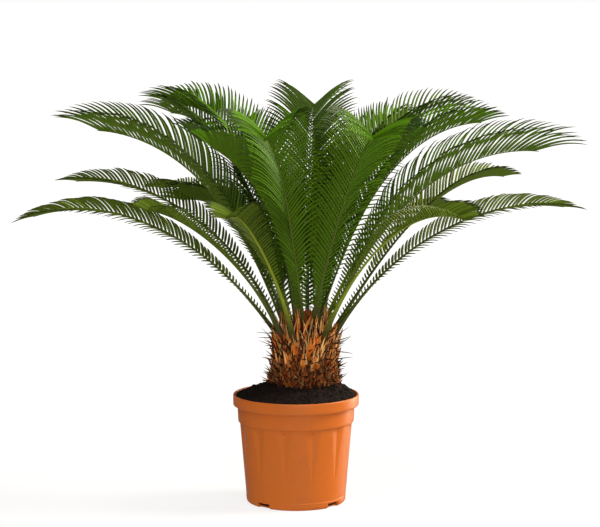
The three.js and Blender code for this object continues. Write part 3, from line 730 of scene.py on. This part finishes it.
class PALM_OT_trunk(bpy.types.Operator):
    """Model the trunk's fibrous body, its old leaf bases, bracts and spines"""

    bl_idname = "palm.trunk"
    bl_label = "Trunk"

    def execute(self, context):
        looks = context.scene.palm_trunk
        self.body(looks)
        self.stubs(looks)
        self.bracts(looks)
        self.spines(looks)
        return {"FINISHED"}

    def body(self, looks):
        rings = [(40 * MM, 276 * MM, TRUNK_FOOT.x), (76 * MM, 276 * MM, TRUNK_FOOT.x)]
        for height in np.linspace(-4, 151, 52) * MM:
            x, _, z = trunk_axis(height)
            rings.append((float(trunk_radius(height)) - 5 * MM, float(z), float(x)))
        trunk = raise_rings(rings, 160)
        roughen(trunk, "VORONOI", 9 * MM, -9 * MM)
        roughen(trunk, "CLOUDS", 4 * MM, 5 * MM)
        settle(trunk, "trunk_bark", "trunk_bark", [fibrous_bark(looks)], "trunk", angle=60)

    def stubs(self, looks):
        """Old leaf bases, cut or broken short, that clad the trunk from the soil to the crown."""
        random = np.random.RandomState(21)
        count = looks.stubs
        reach = 104 * MM
        headings, heights = spiral(count, 0, reach, random, 4)
        grade = heights / reach
        lifts = 32 + 30 * grade + random.normal(0, 9, count)
        courses = set_out(headings, lifts, random.normal(0, 0.22, count))
        lengths = random.uniform(13, 22, count) * MM * (1 + 0.25 * grade)
        roots = on_trunk(headings, heights, 7 * MM)
        lines, ways = grow_lines(roots, courses, lengths, lambda s: UPWARDS * 0.5 * s**2, 4)
        sideways, tops = carry_across(ways, level(headings - 90), random.normal(0, 0.25, count))
        halves = random.uniform(3.2, 6.2, count)[:, None] * MM * (1, 1.05, 0.9, 0.5, 0)
        depths = random.uniform(2.2, 3.8, count)[:, None] * MM * (1, 1, 0.8, 0.5, 0)
        section = ((1, 0.3), (0.74, 0.16), (0, 0.34), (-0.74, 0.16), (-1, 0.3), (0, -1))
        pick = random.choice(4, count, p=(0.36, 0.3, 0.22, 0.12))
        edge = 4 + random.choice(2, count)
        tones = np.stack([edge, pick, pick, edge, pick, pick], -1)
        piece = make_blades("trunk_stubs", lines, sideways, tops, halves, depths, section, tones)
        finishes = [
            dry_scale("dark_leaf_base", shade(looks.stub, 0.5)),
            dry_scale("brown_leaf_base", looks.stub),
            dry_scale("rusty_leaf_base", shade(looks.bract, 0.55)),
            dry_scale("burnt_leaf_base", shade(looks.stub, 0.3)),
            dry_scale("tan_leaf_base_edge", shade(looks.edge, 0.5)),
            dry_scale("orange_leaf_base_edge", shade(looks.bract, 0.85)),
        ]
        settle(piece, "trunk_stubs", "trunk_bark", finishes)

    def bracts(self, looks):
        """Papery bracts that stand up round the stalks, broad ones low down and twisted ribbons."""
        finishes = [
            # orange is the bracts' own colour; the tan tone is painted light, the rust and brown
            # tones are painted shade, and the two edge tones colour the dry edges and also serve as
            # painted light
            dry_scale("orange_bract", shade(looks.bract, 1.1), 0.6),
            dry_scale("rust_bract", shade(looks.bark, 1.6), 0.65),
            dry_scale("tan_bract", shade(looks.edge, 0.6), 0.6),
            dry_scale("brown_bract", shade(looks.bark, 0.8), 0.7),
            dry_scale("straw_bract_edge", looks.edge, 0.6),
            dry_scale("orange_bract_edge", shade(looks.edge, 0.75), 0.6),
        ]
        kinds = (  # seed, one in how many; heights, lengths, half widths in mm; lean, yaw, twist
            ("trunk_broad_bracts", 22, 2, (40, 98), (34, 56), (4.2, 7), 82, 0.16, 0.6),
            ("trunk_tall_bracts", 24, 3, (58, 98), (40, 70), (3, 5.4), 80, 0.24, 1),
            ("trunk_ribbons", 25, 2, (94, 138), (30, 62), (2.2, 4.2), 88, 0.24, 1.4),
        )
        for name, seed, portion, band, lengths, halves, lean, yaw, twist in kinds:
            random = np.random.RandomState(seed)
            count = looks.bracts // portion
            headings, heights = spiral(count, band[0] * MM, band[1] * MM, random, 5)
            out, across = level(headings), level(headings + 90)
            lifts = random.normal(lean, 6, count)
            courses = set_out(headings, lifts, random.normal(0, yaw, count))
            curl = out[:, None] * random.normal(0.1, 0.2, (count, 1, 1))
            curl = curl + across[:, None] * random.normal(0, 2 * yaw, (count, 1, 1))
            size = random.uniform(*lengths, count) * MM
            roots = on_trunk(headings, heights, 3 * MM)
            lines, ways = grow_lines(roots, courses, size, lambda s: curl * s**2, 8)
            sideways, tops = carry_across(ways, -across, random.normal(0, twist, count))
            taper = (0.9, 1.0, 1.0, 0.92, 0.8, 0.64, 0.46, 0.26, 0)
            width = random.uniform(*halves, count)[:, None] * MM * taper
            depths = np.full((count, 1), 1.6 * MM) * (1, 1, 0.9, 0.8, 0.7, 0.6, 0.5, 0.4, 0)
            section = ((1, 0.75), (0.72, 0.25), (0, -0.1), (-0.72, 0.25), (-1, 0.75), (0, -1))
            # each bract has painted light along one half and painted shade along the other, and
            # pale dry edges that are brightened as painted highlight too
            lit = random.choice((0, 2, 5, 4), count, p=(0.34, 0.06, 0.26, 0.34))
            dim = random.choice((0, 1, 3), count, p=(0.3, 0.4, 0.3))
            edge = 4 + random.choice(2, count)
            swap = random.choice(2, count) > 0
            one, other = np.where(swap, lit, dim), np.where(swap, dim, lit)
            tones = np.stack([edge, one, other, edge, other, one], -1)
            piece = make_blades(name, lines, sideways, tops, width, depths, section, tones)
            settle(piece, name, "trunk_bark", finishes)

    def strands(self, name, seed, count, band, lengths, thickness, lifts, sunk, finishes):
        """Thin strands that leave the trunk at any of a range of lifts, each with its own bend."""
        random = np.random.RandomState(seed)
        headings = random.uniform(0, 360, count)
        heights = random.uniform(*band, count) * MM
        lifts = random.uniform(*lifts, count)
        courses = set_out(headings, lifts, random.normal(0, 0.5, count))
        curl = random.normal(0, 0.35, (count, 1, 3))
        size = random.uniform(*lengths, count) * MM
        roots = on_trunk(headings, heights, sunk)
        lines, ways = grow_lines(roots, courses, size, lambda s: curl * s**2, 5)
        sideways, tops = carry_across(ways, -level(headings + 90), np.zeros(count))
        thick = random.uniform(*thickness, count)[:, None] * MM * (1, 0.95, 0.85, 0.65, 0.4, 0)
        section = ((1, -0.5), (0, 1), (-1, -0.5))
        tones = np.repeat(random.choice(len(finishes), count)[:, None], 3, 1)
        piece = make_blades(name, lines, sideways, tops, thick, thick, section, tones)
        settle(piece, name, "trunk_bark", finishes, angle=None)

    def spines(self, looks):
        """Dark spines left by leaf tips, long wisps, and pale fibre over the old leaf bases."""
        dark = [
            dry_scale("black_spine", linear("#1E1A10"), 0.5),
            dry_scale("brown_spine", shade(looks.stub, 0.6), 0.6),
        ]
        pale = [
            dry_scale("rusty_fibre", shade(looks.bract, 0.8), 0.8),
            dry_scale("straw_fibre", shade(looks.edge, 0.62), 0.8),
        ]
        wisps = looks.spines // 4
        sets = (  # seed, number, heights, lengths and half thickness in mm, lifts, sunk by, colours
            ("trunk_spines", 23, looks.spines, (2, 122), (22, 38), (1.6, 2.5), (5, 65), 3, dark),
            ("trunk_wisps", 26, wisps, (60, 124), (46, 78), (1.5, 2.2), (0, 60), 4, dark),
            ("trunk_fibre", 27, looks.fibres, (4, 66), (7, 17), (0.4, 0.75), (40, 120), -2, pale),
        )
        for *settings, sunk, finishes in sets:
            self.strands(*settings, sunk * MM, finishes)


class PALM_OT_bud(bpy.types.Operator):
    """Model the woolly bud in the middle of the crown"""

    bl_idname = "palm.bud"
    bl_label = "Bud"

    def execute(self, context):
        looks = context.scene.palm_trunk
        low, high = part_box("bud")
        middle = Vector((26 * MM, 0, 0))
        radii = (-0.3, 8), (-0.28, 11), (0.1, 10.5), (0.45, 9), (0.7, 6.5), (0.85, 4), (0.92, 2)
        rings = [(wide * MM, low.z + (high.z - low.z) * share, middle.x) for share, wide in radii]
        core = raise_rings(rings, 48)
        apply_modifier(core, "SUBSURF", levels=1, render_levels=1)
        roughen(core, "CLOUDS", 3 * MM, 2.5 * MM)
        settle(core, "bud_core", "bud_wool", [self.felt(looks)], "bud", angle=60)
        self.tufts(looks, middle, low.z)
        return {"FINISHED"}

    def felt(self, looks):
        """Felted plant wool: matt, soft and rusty brown, with a pale bloom on its hairs."""
        material, shader = new_material(
            "felted_wool", looks.wool, 0.95, Sheen_Weight=0.3, Sheen_Roughness=0.5,
            Specular_IOR_Level=0.2,
        )
        place = add_node(material, "ShaderNodeTexCoord")
        stretch = add_node(
            material, "ShaderNodeMapping", {"Scale": (1, 1, 0.25)}, Vector=place.outputs["Object"]
        )
        hairs = add_node(
            material, "ShaderNodeTexNoise", {"Scale": 1 / (1.2 * MM), "Detail": 4.0},
            Vector=stretch.outputs["Vector"],
        )
        return mottle(
            material, shader, hairs.outputs["Fac"], 0.8, 0.8 * MM, (0.35, shade(looks.wool, 0.45)),
            (0.55, looks.wool), (0.72, looks.bract),
        )

    def tufts(self, looks, middle, foot):
        """Slim woolly scales wrapped round the bud, their tips free."""
        random = np.random.RandomState(31)
        count = 54
        headings = np.arange(count) * GOLDEN_ANGLE
        heights = foot + np.linspace(-12, 12, count) * MM
        out = level(headings)
        reach = np.linspace(17, 6, count) * MM
        roots = out * reach[:, None] + np.stack([0 * heights + middle.x, 0 * heights, heights], -1)
        lean = random.normal(0.1, 0.12, count)[:, None]
        courses = unit(UPWARDS + out * lean + random.normal(0, 0.08, (count, 3)))
        lengths = random.uniform(12, 19, count) * MM
        curl = -out[:, None] * random.uniform(0, 0.4, count)[:, None, None]
        lines, ways = grow_lines(roots, courses, lengths, lambda s: curl * s**2, 5)
        sideways, tops = carry_across(ways, level(headings - 90), random.normal(0, 0.5, count))
        halves = random.uniform(2.2, 3.8, count)[:, None] * MM * (0.9, 1, 0.85, 0.6, 0.3, 0)
        section = ((1, 0.4), (0, 0.3), (-1, 0.4), (0, -1))
        tones = np.repeat(random.choice(3, count)[:, None], 4, 1)
        depths = halves * 0.35
        piece = make_blades("bud_scales", lines, sideways, tops, halves, depths, section, tones)
        finishes = [
            dry_scale("woolly_scale", looks.wool, 0.9),
            dry_scale("dark_woolly_scale", shade(looks.wool, 0.45), 0.9),
            dry_scale("rusty_woolly_scale", shade(looks.bract, 0.6), 0.9),
        ]
        settle(piece, "bud_scales", "bud_wool", finishes)


# ------------------------------------------------------------------ fronds


class Frond:
    """One frond: its curve, and its rib's width at any place along it."""

    def __init__(self, row):
        heading, seat, self.rise, self.arch, self.bend, length, self.sweep = row[:7]
        self.leaf, self.shrink, self.close, self.vee, self.lift, self.roll, self.droop = row[7:]
        self.seat = SEATS[seat]
        self.length = length * MM
        shares = np.linspace(0, 1, RIB_STEPS + 1) ** self.bend
        tilt = np.radians(self.rise - self.arch * shares)[:, None]
        course = heading + self.sweep * shares
        self.along = level(course) * np.cos(tilt) + UPWARDS * np.sin(tilt)
        self.side = level(course - 90)
        self.up = np.cross(self.side, self.along)
        foot = CROWN + (level(heading) * self.seat["radius"] + UPWARDS * self.seat["height"]) * MM
        paces = (self.along[1:] + self.along[:-1]) / 2 * self.length / RIB_STEPS
        self.origin = np.concatenate([foot[None], foot + np.cumsum(paces, 0)])

    def at(self, places):
        """Origins, and the along, side and up directions, at places from 0 to 1."""
        marks = np.linspace(0, 1, RIB_STEPS + 1)
        held = np.clip(places, 0, 1)

        def mix(table):
            return np.stack([np.interp(held, marks, table[:, k]) for k in range(3)], -1)

        along = unit(mix(self.along))
        origin = mix(self.origin) + along * (np.minimum(places, 0) * self.length)[:, None]
        return origin, along, unit(mix(self.side)), unit(mix(self.up))

    def width(self, places):
        held = np.clip(places, 0, 1)
        flare = 1 + STALK_FLARE * np.exp(-held / STALK_FLARE_FADES)
        slim = 1 - STALK_SLIMS * np.clip(places / STALK_SLIM_FROM, 0, 1)
        spare = self.seat["width"] * MM - RIB_TIP_WIDTH
        return (RIB_TIP_WIDTH + spare * (1 - held) ** RIB_TAPER) * flare * slim


def leaf_share(places, grown, shrink):
    """A leaflet's length as a share of the longest: spines at the foot, long at the middle."""
    ease = np.clip((places - LEAF_GROWS) / (grown - LEAF_GROWS), 0, 1)
    share = np.maximum(LEAF_SPINE_SHARE, ease * ease * (3 - 2 * ease))
    past = np.maximum(0, (places - LEAF_SHRINKS) / (1 - LEAF_SHRINKS))
    return share * (1 - shrink * past**2)


def leaf_greens(looks, slot):
    """Leathery, waxed leaflets. Each set has an upper green, a lighter copy of it as painted light,
    a darker copy as painted shade, and a duller, paler underside.
    """
    upper = getattr(looks, slot.replace("frond_", "") + "_leaf")
    finishes = [
        ("leaf", upper, 0.48),
        # a lighter copy of the upper green as painted light, and a darker one as painted shade
        ("bright_leaf", shade(upper, 1.3), 0.48),
        ("deep_leaf", shade(upper, 0.6), 0.48),
        ("underside", blend(looks.underside, upper, 0.5), 0.6),
    ]
    greens = [
        new_material(f"{slot}_{name}", colour, roughness, IOR=1.3, Specular_IOR_Level=0.35)[0]
        for name, colour, roughness in finishes
    ]
    return greens + [new_material(f"{slot}_leaf_tip", shade(upper, 0.3), 0.5, IOR=1.4)[0]]


def stalk_skin(looks, slot, yellow):
    """Smooth green leaf stalk: a waxy skin, woolly and brown at its foot."""
    green = blend(looks.stalk, looks.yellow_stalk, yellow)
    material, shader = new_material(f"{slot}_stalk", green, 0.45, IOR=1.45)
    run = add_node(material, "ShaderNodeAttribute", {"attribute_name": "run"})
    place = add_node(material, "ShaderNodeTexCoord")
    clouds = add_node(
        material, "ShaderNodeTexNoise", {"Scale": 1 / (7 * MM), "Detail": 3.0},
        Vector=place.outputs["Object"],
    )
    # The clouds move the colours up or down the stalk by up to 0.04 of its length.
    shift = add_node(
        material, "ShaderNodeMath", {"operation": "MULTIPLY_ADD", 1: 0.08, 2: -0.04},
        _0=clouds.outputs["Fac"],
    )
    total = add_node(
        material, "ShaderNodeMath", {"operation": "ADD"}, _0=run.outputs["Fac"], _1=shift.outputs[0]
    )
    ramp = add_node(material, "ShaderNodeValToRGB", {}, Fac=total.outputs[0])
    stops = (
        (0.0, looks.stalk_wool), (0.03, looks.stalk_foot), (0.16, shade(green, 0.85)),
        (0.5, green), (1.0, shade(green, 0.9)),
    )
    feed(shader, Base_Color=place_colours(ramp, *stops))
    return material


class PALM_OT_fronds(bpy.types.Operator):
    """Model every frond's stalk and its two rows of leaflets"""

    bl_idname = "palm.fronds"
    bl_label = "Fronds"

    def execute(self, context):
        looks = context.scene.palm_fronds
        greens = {seat["slot"]: leaf_greens(looks, seat["slot"]) for seat in SEATS.values()}
        skins = {
            (seat["slot"], yellow): stalk_skin(looks, seat["slot"], yellow)
            for seat in SEATS.values() for yellow in (0, STALK_YELLOW)
        }
        for number, row in enumerate(FRONDS, 1):
            frond = Frond(row)
            name = f"frond_{number:02d}"
            slot = frond.seat["slot"]
            random = np.random.RandomState(100 + number)
            yellow = STALK_YELLOW if name in YELLOW_FRONDS else 0
            self.stalk(frond, name, slot, skins[slot, yellow])
            self.leaflets(frond, name, slot, greens[slot], looks, random)
        return {"FINISHED"}

    def stalk(self, frond, name, slot, skin):
        """A tapering stalk with a flat upper side and a rounded keel."""
        places = np.concatenate([[-SEAT_DEPTH / frond.length], np.linspace(0, 1, 44)])
        origin, _, side, up = frond.at(places)
        half = frond.width(places) / 2
        turns = np.radians((0, 35, 90, 145, 180, 215, 245, 270, 295, 325))
        u, v = np.cos(turns), np.sin(turns)
        v = np.where(v > 0, STALK_TOP * v, STALK_KEEL * v)
        points = (
            origin[:, None] + side[:, None] * (half[:, None] * u)[..., None]
            + up[:, None] * (half[:, None] * v)[..., None]
        )
        count, corners = points.shape[:2]
        here, after = np.arange(corners), (np.arange(corners) + 1) % corners
        first = (np.arange(count - 1) * corners)[:, None]
        # up, side and along are left-handed in this order, so the rings run the other way
        second = first + corners
        quads = np.stack([first + here, second + here, second + after, first + after], -1)
        ends = [here[None], (here[::-1] + (count - 1) * corners)[None]]
        piece = mesh_from_arrays(name, points, [quads.reshape(-1, 4), *ends])
        run = piece.data.attributes.new("run", "FLOAT", "POINT")
        run.data.foreach_set("value", np.repeat(np.maximum(places, 0), corners).astype(np.float32))
        settle(piece, f"{name}_stalk", slot, [skin], name, angle=50)

    def leaflets(self, frond, name, slot, greens, looks, random):
        """Two rows of narrow leaflets in a vee, each a folded blade that curves to the tip."""
        pairs = looks.pairs
        pitch = (LEAF_LAST - LEAF_FIRST) / pairs
        rows = []
        for turn in (1, -1):
            places = LEAF_FIRST + pitch * (np.arange(pairs) + 0.5 + LEAF_STAGGER * turn)
            places = places + random.normal(0, 0.05 * pitch, pairs)
            waves = random.uniform(0, 2 * math.pi, (3, 1)) + np.outer(LEAF_WAVES, places)
            wave = np.sin(waves).sum(0)
            origin, along, side, up = frond.at(places)
            angle = LEAF_ANGLE - frond.close * places**LEAF_CLOSING
            angle = angle - LEAF_TIP_CLOSES * places**LEAF_TIP_CLOSING
            angle = angle + LEAF_WAVE * wave + random.normal(0, LEAF_SPREAD, pairs)
            angle = np.radians(angle)[:, None]
            rolled = (LEAF_ROLL_ENDS - places) / (LEAF_ROLL_ENDS - 0.5)
            vee = frond.vee + frond.lift * (places - 0.5) - turn * frond.roll * rolled
            vee = np.radians(vee + np.roll(wave, VEE_LAG) + random.normal(0, 0.6, pairs))[:, None]
            out = side * turn * np.cos(vee) + up * np.sin(vee)
            course = unit(along * np.cos(angle) + out * np.sin(angle))
            root = origin + side * turn * (frond.width(places) * LEAF_SEAT)[:, None]
            across = unit(along - course * dot(along, course)) * turn
            share = leaf_share(places, frond.seat["grown"], frond.shrink)
            length = frond.leaf * MM * share * random.normal(1, 0.03, pairs)
            rows.append((root, course, across, length, along, up, places))
        parts = (np.concatenate(part) for part in zip(*rows))
        root, course, across, length, along, up, places = parts
        size = (length / FULL_LEAF)[:, None, None]
        place = places[:, None, None]
        curve = along[:, None] * LEAF_NODS - up[:, None] * LEAF_SINKS
        curve = curve - UPWARDS * frond.droop * (DROOP_ENDS - place) * size
        arc = UPWARDS * looks.arc * (ARC_ENDS - place) * size
        rise = 1 / (ARC_BEND + 1)  # leaves the tip of an arched leaflet about where it was
        lines, ways = grow_lines(
            root, course, length, lambda s: curve * s**2 + arc * (rise - s**ARC_BEND), 8
        )
        tilt = FROND_TILTS.get(name, LEAF_TILTS[slot])
        lean = tilt * np.repeat((1, -1), pairs) + random.normal(0, 0.06, len(root))
        sideways, tops = carry_across(ways, across, np.zeros(len(root)), lean)
        half = looks.leaf_width / 2 * LEAF_BREADTHS.get(name, 1) * (1 - LEAF_NARROWS * places**2)
        half = np.minimum(half, length / LEAF_SLIMNESS)[:, None]
        halves = half * (0.6, 0.92, 1, 1, 0.97, 0.9, 0.76, 0.5, 0)
        depths = half * 0.5 * (1, 1, 1, 1, 1, 0.9, 0.8, 0.6, 0)
        section = ((1, -0.5), (0, 1), (-1, -0.5), (0, -0.9))
        # Each leaflet takes its upper green, its painted-light copy or its painted-shade copy;
        # fronds in SHADED_FRONDS take mostly painted shade.
        odds = (0.1, 0.0, 0.9) if name in SHADED_FRONDS else (0.5, 0.25, 0.25)
        tone = random.choice(3, len(root), p=odds)
        tones = np.stack([tone, tone, 0 * tone + 3, 0 * tone + 3], -1)
        ends = np.full(len(root), 4)
        piece = make_blades(name, lines, sideways, tops, halves, depths, section, tones, ends)
        settle(piece, f"{name}_leaflets", slot, greens, name)


# ------------------------------------------------------------------ stage

CAMERA_PLACE = (0.0096, -5.05, 1.175)
CAMERA_DIPS = 6.815  # how far it looks down, degrees
CAMERA_LENS = 129  # on a sensor 36 mm wide


class PALM_OT_stage(bpy.types.Operator):
    """Lay the studio floor and set the lights and the camera"""

    bl_idname = "palm.stage"
    bl_label = "Stage"

    def execute(self, context):
        looks = context.scene.palm_stage
        scene = context.scene
        deselect_all()
        bpy.ops.mesh.primitive_circle_add(vertices=96, radius=2000, fill_type="NGON")
        floor = context.object
        floor.name = "studio_floor"
        floor.visible_diffuse = False
        floor.visible_glossy = False
        # Matt background paper, lit so that it reads as plain white with a faint shadow.
        paper, _ = new_material(
            "studio_paper", looks.floor, 0.8, Specular_IOR_Level=0.0, Emission_Color=WHITE,
            Emission_Strength=looks.floor_glow,
        )
        floor.data.materials.append(paper)
        self.light("key", 95, 38, looks.key_power, 24, "#FFF6E6")
        self.light("top", -25, 62, looks.top_power, 40, "#FFFFFF")
        self.light("front", 10, 16, looks.front_power, 40, "#FFFFFF")
        self.light("rim", 128, 4, looks.rim_power, 36, "#FFF4D8")
        world = bpy.data.worlds.new("studio_air")
        world.use_nodes = True
        air = world.node_tree.nodes["Background"]
        air.inputs["Color"].default_value = WHITE
        path = add_node(world, "ShaderNodeLightPath")
        way = add_node(world, "ShaderNodeTexCoord")
        rise = add_node(world, "ShaderNodeSeparateXYZ", {}, Vector=way.outputs["Generated"])
        below = add_node(
            world, "ShaderNodeMapRange",
            {"From Min": -0.2, "From Max": 0.1, "To Min": looks.bounce, "To Max": looks.air_power},
            Value=rise.outputs["Z"],
        )
        backdrop = add_node(world, "ShaderNodeBackground", {"Color": WHITE, "Strength": 1.0})
        seen = add_node(
            world, "ShaderNodeMixShader",
            _0=path.outputs["Is Camera Ray"], _1=air.outputs[0], _2=backdrop.outputs[0],
        )
        surface = world.node_tree.nodes["World Output"].inputs["Surface"]
        world.node_tree.links.new(below.outputs["Result"], air.inputs["Strength"])
        world.node_tree.links.new(seen.outputs[0], surface)
        world.cycles_visibility.glossy = False
        scene.world = world
        scene.view_settings.view_transform = "Standard"
        camera = bpy.data.objects.new("camera", bpy.data.cameras.new("camera"))
        scene.collection.objects.link(camera)
        camera.location = CAMERA_PLACE
        camera.rotation_euler = (math.radians(90 - CAMERA_DIPS), 0, 0)
        camera.data.lens = CAMERA_LENS
        camera.data.sensor_width = 36
        camera.data.clip_end = 5000
        scene.camera = camera
        return {"FINISHED"}

    def light(self, name, azimuth, elevation, power, spread, hex_code):
        """A broad distant light. Azimuth turns from the front to the right, spread is its width."""
        lamp = bpy.data.lights.new(name, "SUN")
        lamp.angle = math.radians(spread)
        lamp.energy = power
        lamp.color = linear(hex_code)
        holder = bpy.data.objects.new(name, lamp)
        bpy.context.scene.collection.objects.link(holder)
        turn, rise = math.radians(azimuth), math.radians(elevation)
        flat = math.cos(rise)
        back = Vector((math.sin(turn) * flat, -math.cos(turn) * flat, math.sin(rise)))
        holder.rotation_euler = (-back).to_track_quat("-Z", "Y").to_euler()


# ------------------------------------------------------------------ add-on

OPERATORS = (PALM_OT_pot, PALM_OT_soil, PALM_OT_trunk, PALM_OT_bud, PALM_OT_fronds, PALM_OT_stage)
SETTINGS = {
    "palm_pot": PotSettings,
    "palm_soil": SoilSettings,
    "palm_trunk": TrunkSettings,
    "palm_fronds": FrondSettings,
    "palm_stage": StageSettings,
}


class PALM_PT_panel(bpy.types.Panel):
    """Lists the palm's pieces and their sizes and colours"""

    bl_idname = "PALM_PT_panel"
    bl_label = "Sago Palm"
    bl_space_type = "VIEW_3D"
    bl_region_type = "UI"
    bl_category = "Sago Palm"

    def draw(self, context):
        for operator in OPERATORS:
            self.layout.operator(operator.bl_idname)
        for key, group in SETTINGS.items():
            box = self.layout.box()
            for name in group.__annotations__:
                box.prop(getattr(context.scene, key), name)


def register():
    for group in SETTINGS.values():
        bpy.utils.register_class(group)
    for operator in (*OPERATORS, PALM_PT_panel):
        bpy.utils.register_class(operator)
    for key, group in SETTINGS.items():
        setattr(bpy.types.Scene, key, bpy.props.PointerProperty(type=group))


def unregister():
    for key in SETTINGS:
        delattr(bpy.types.Scene, key)
    for kind in (PALM_PT_panel, *OPERATORS, *SETTINGS.values()):
        bpy.utils.unregister_class(kind)


def main():
    register()
    for operator in OPERATORS:
        group, name = operator.bl_idname.split(".")
        getattr(getattr(bpy.ops, group), name)()


if __name__ == "__main__":
    main()
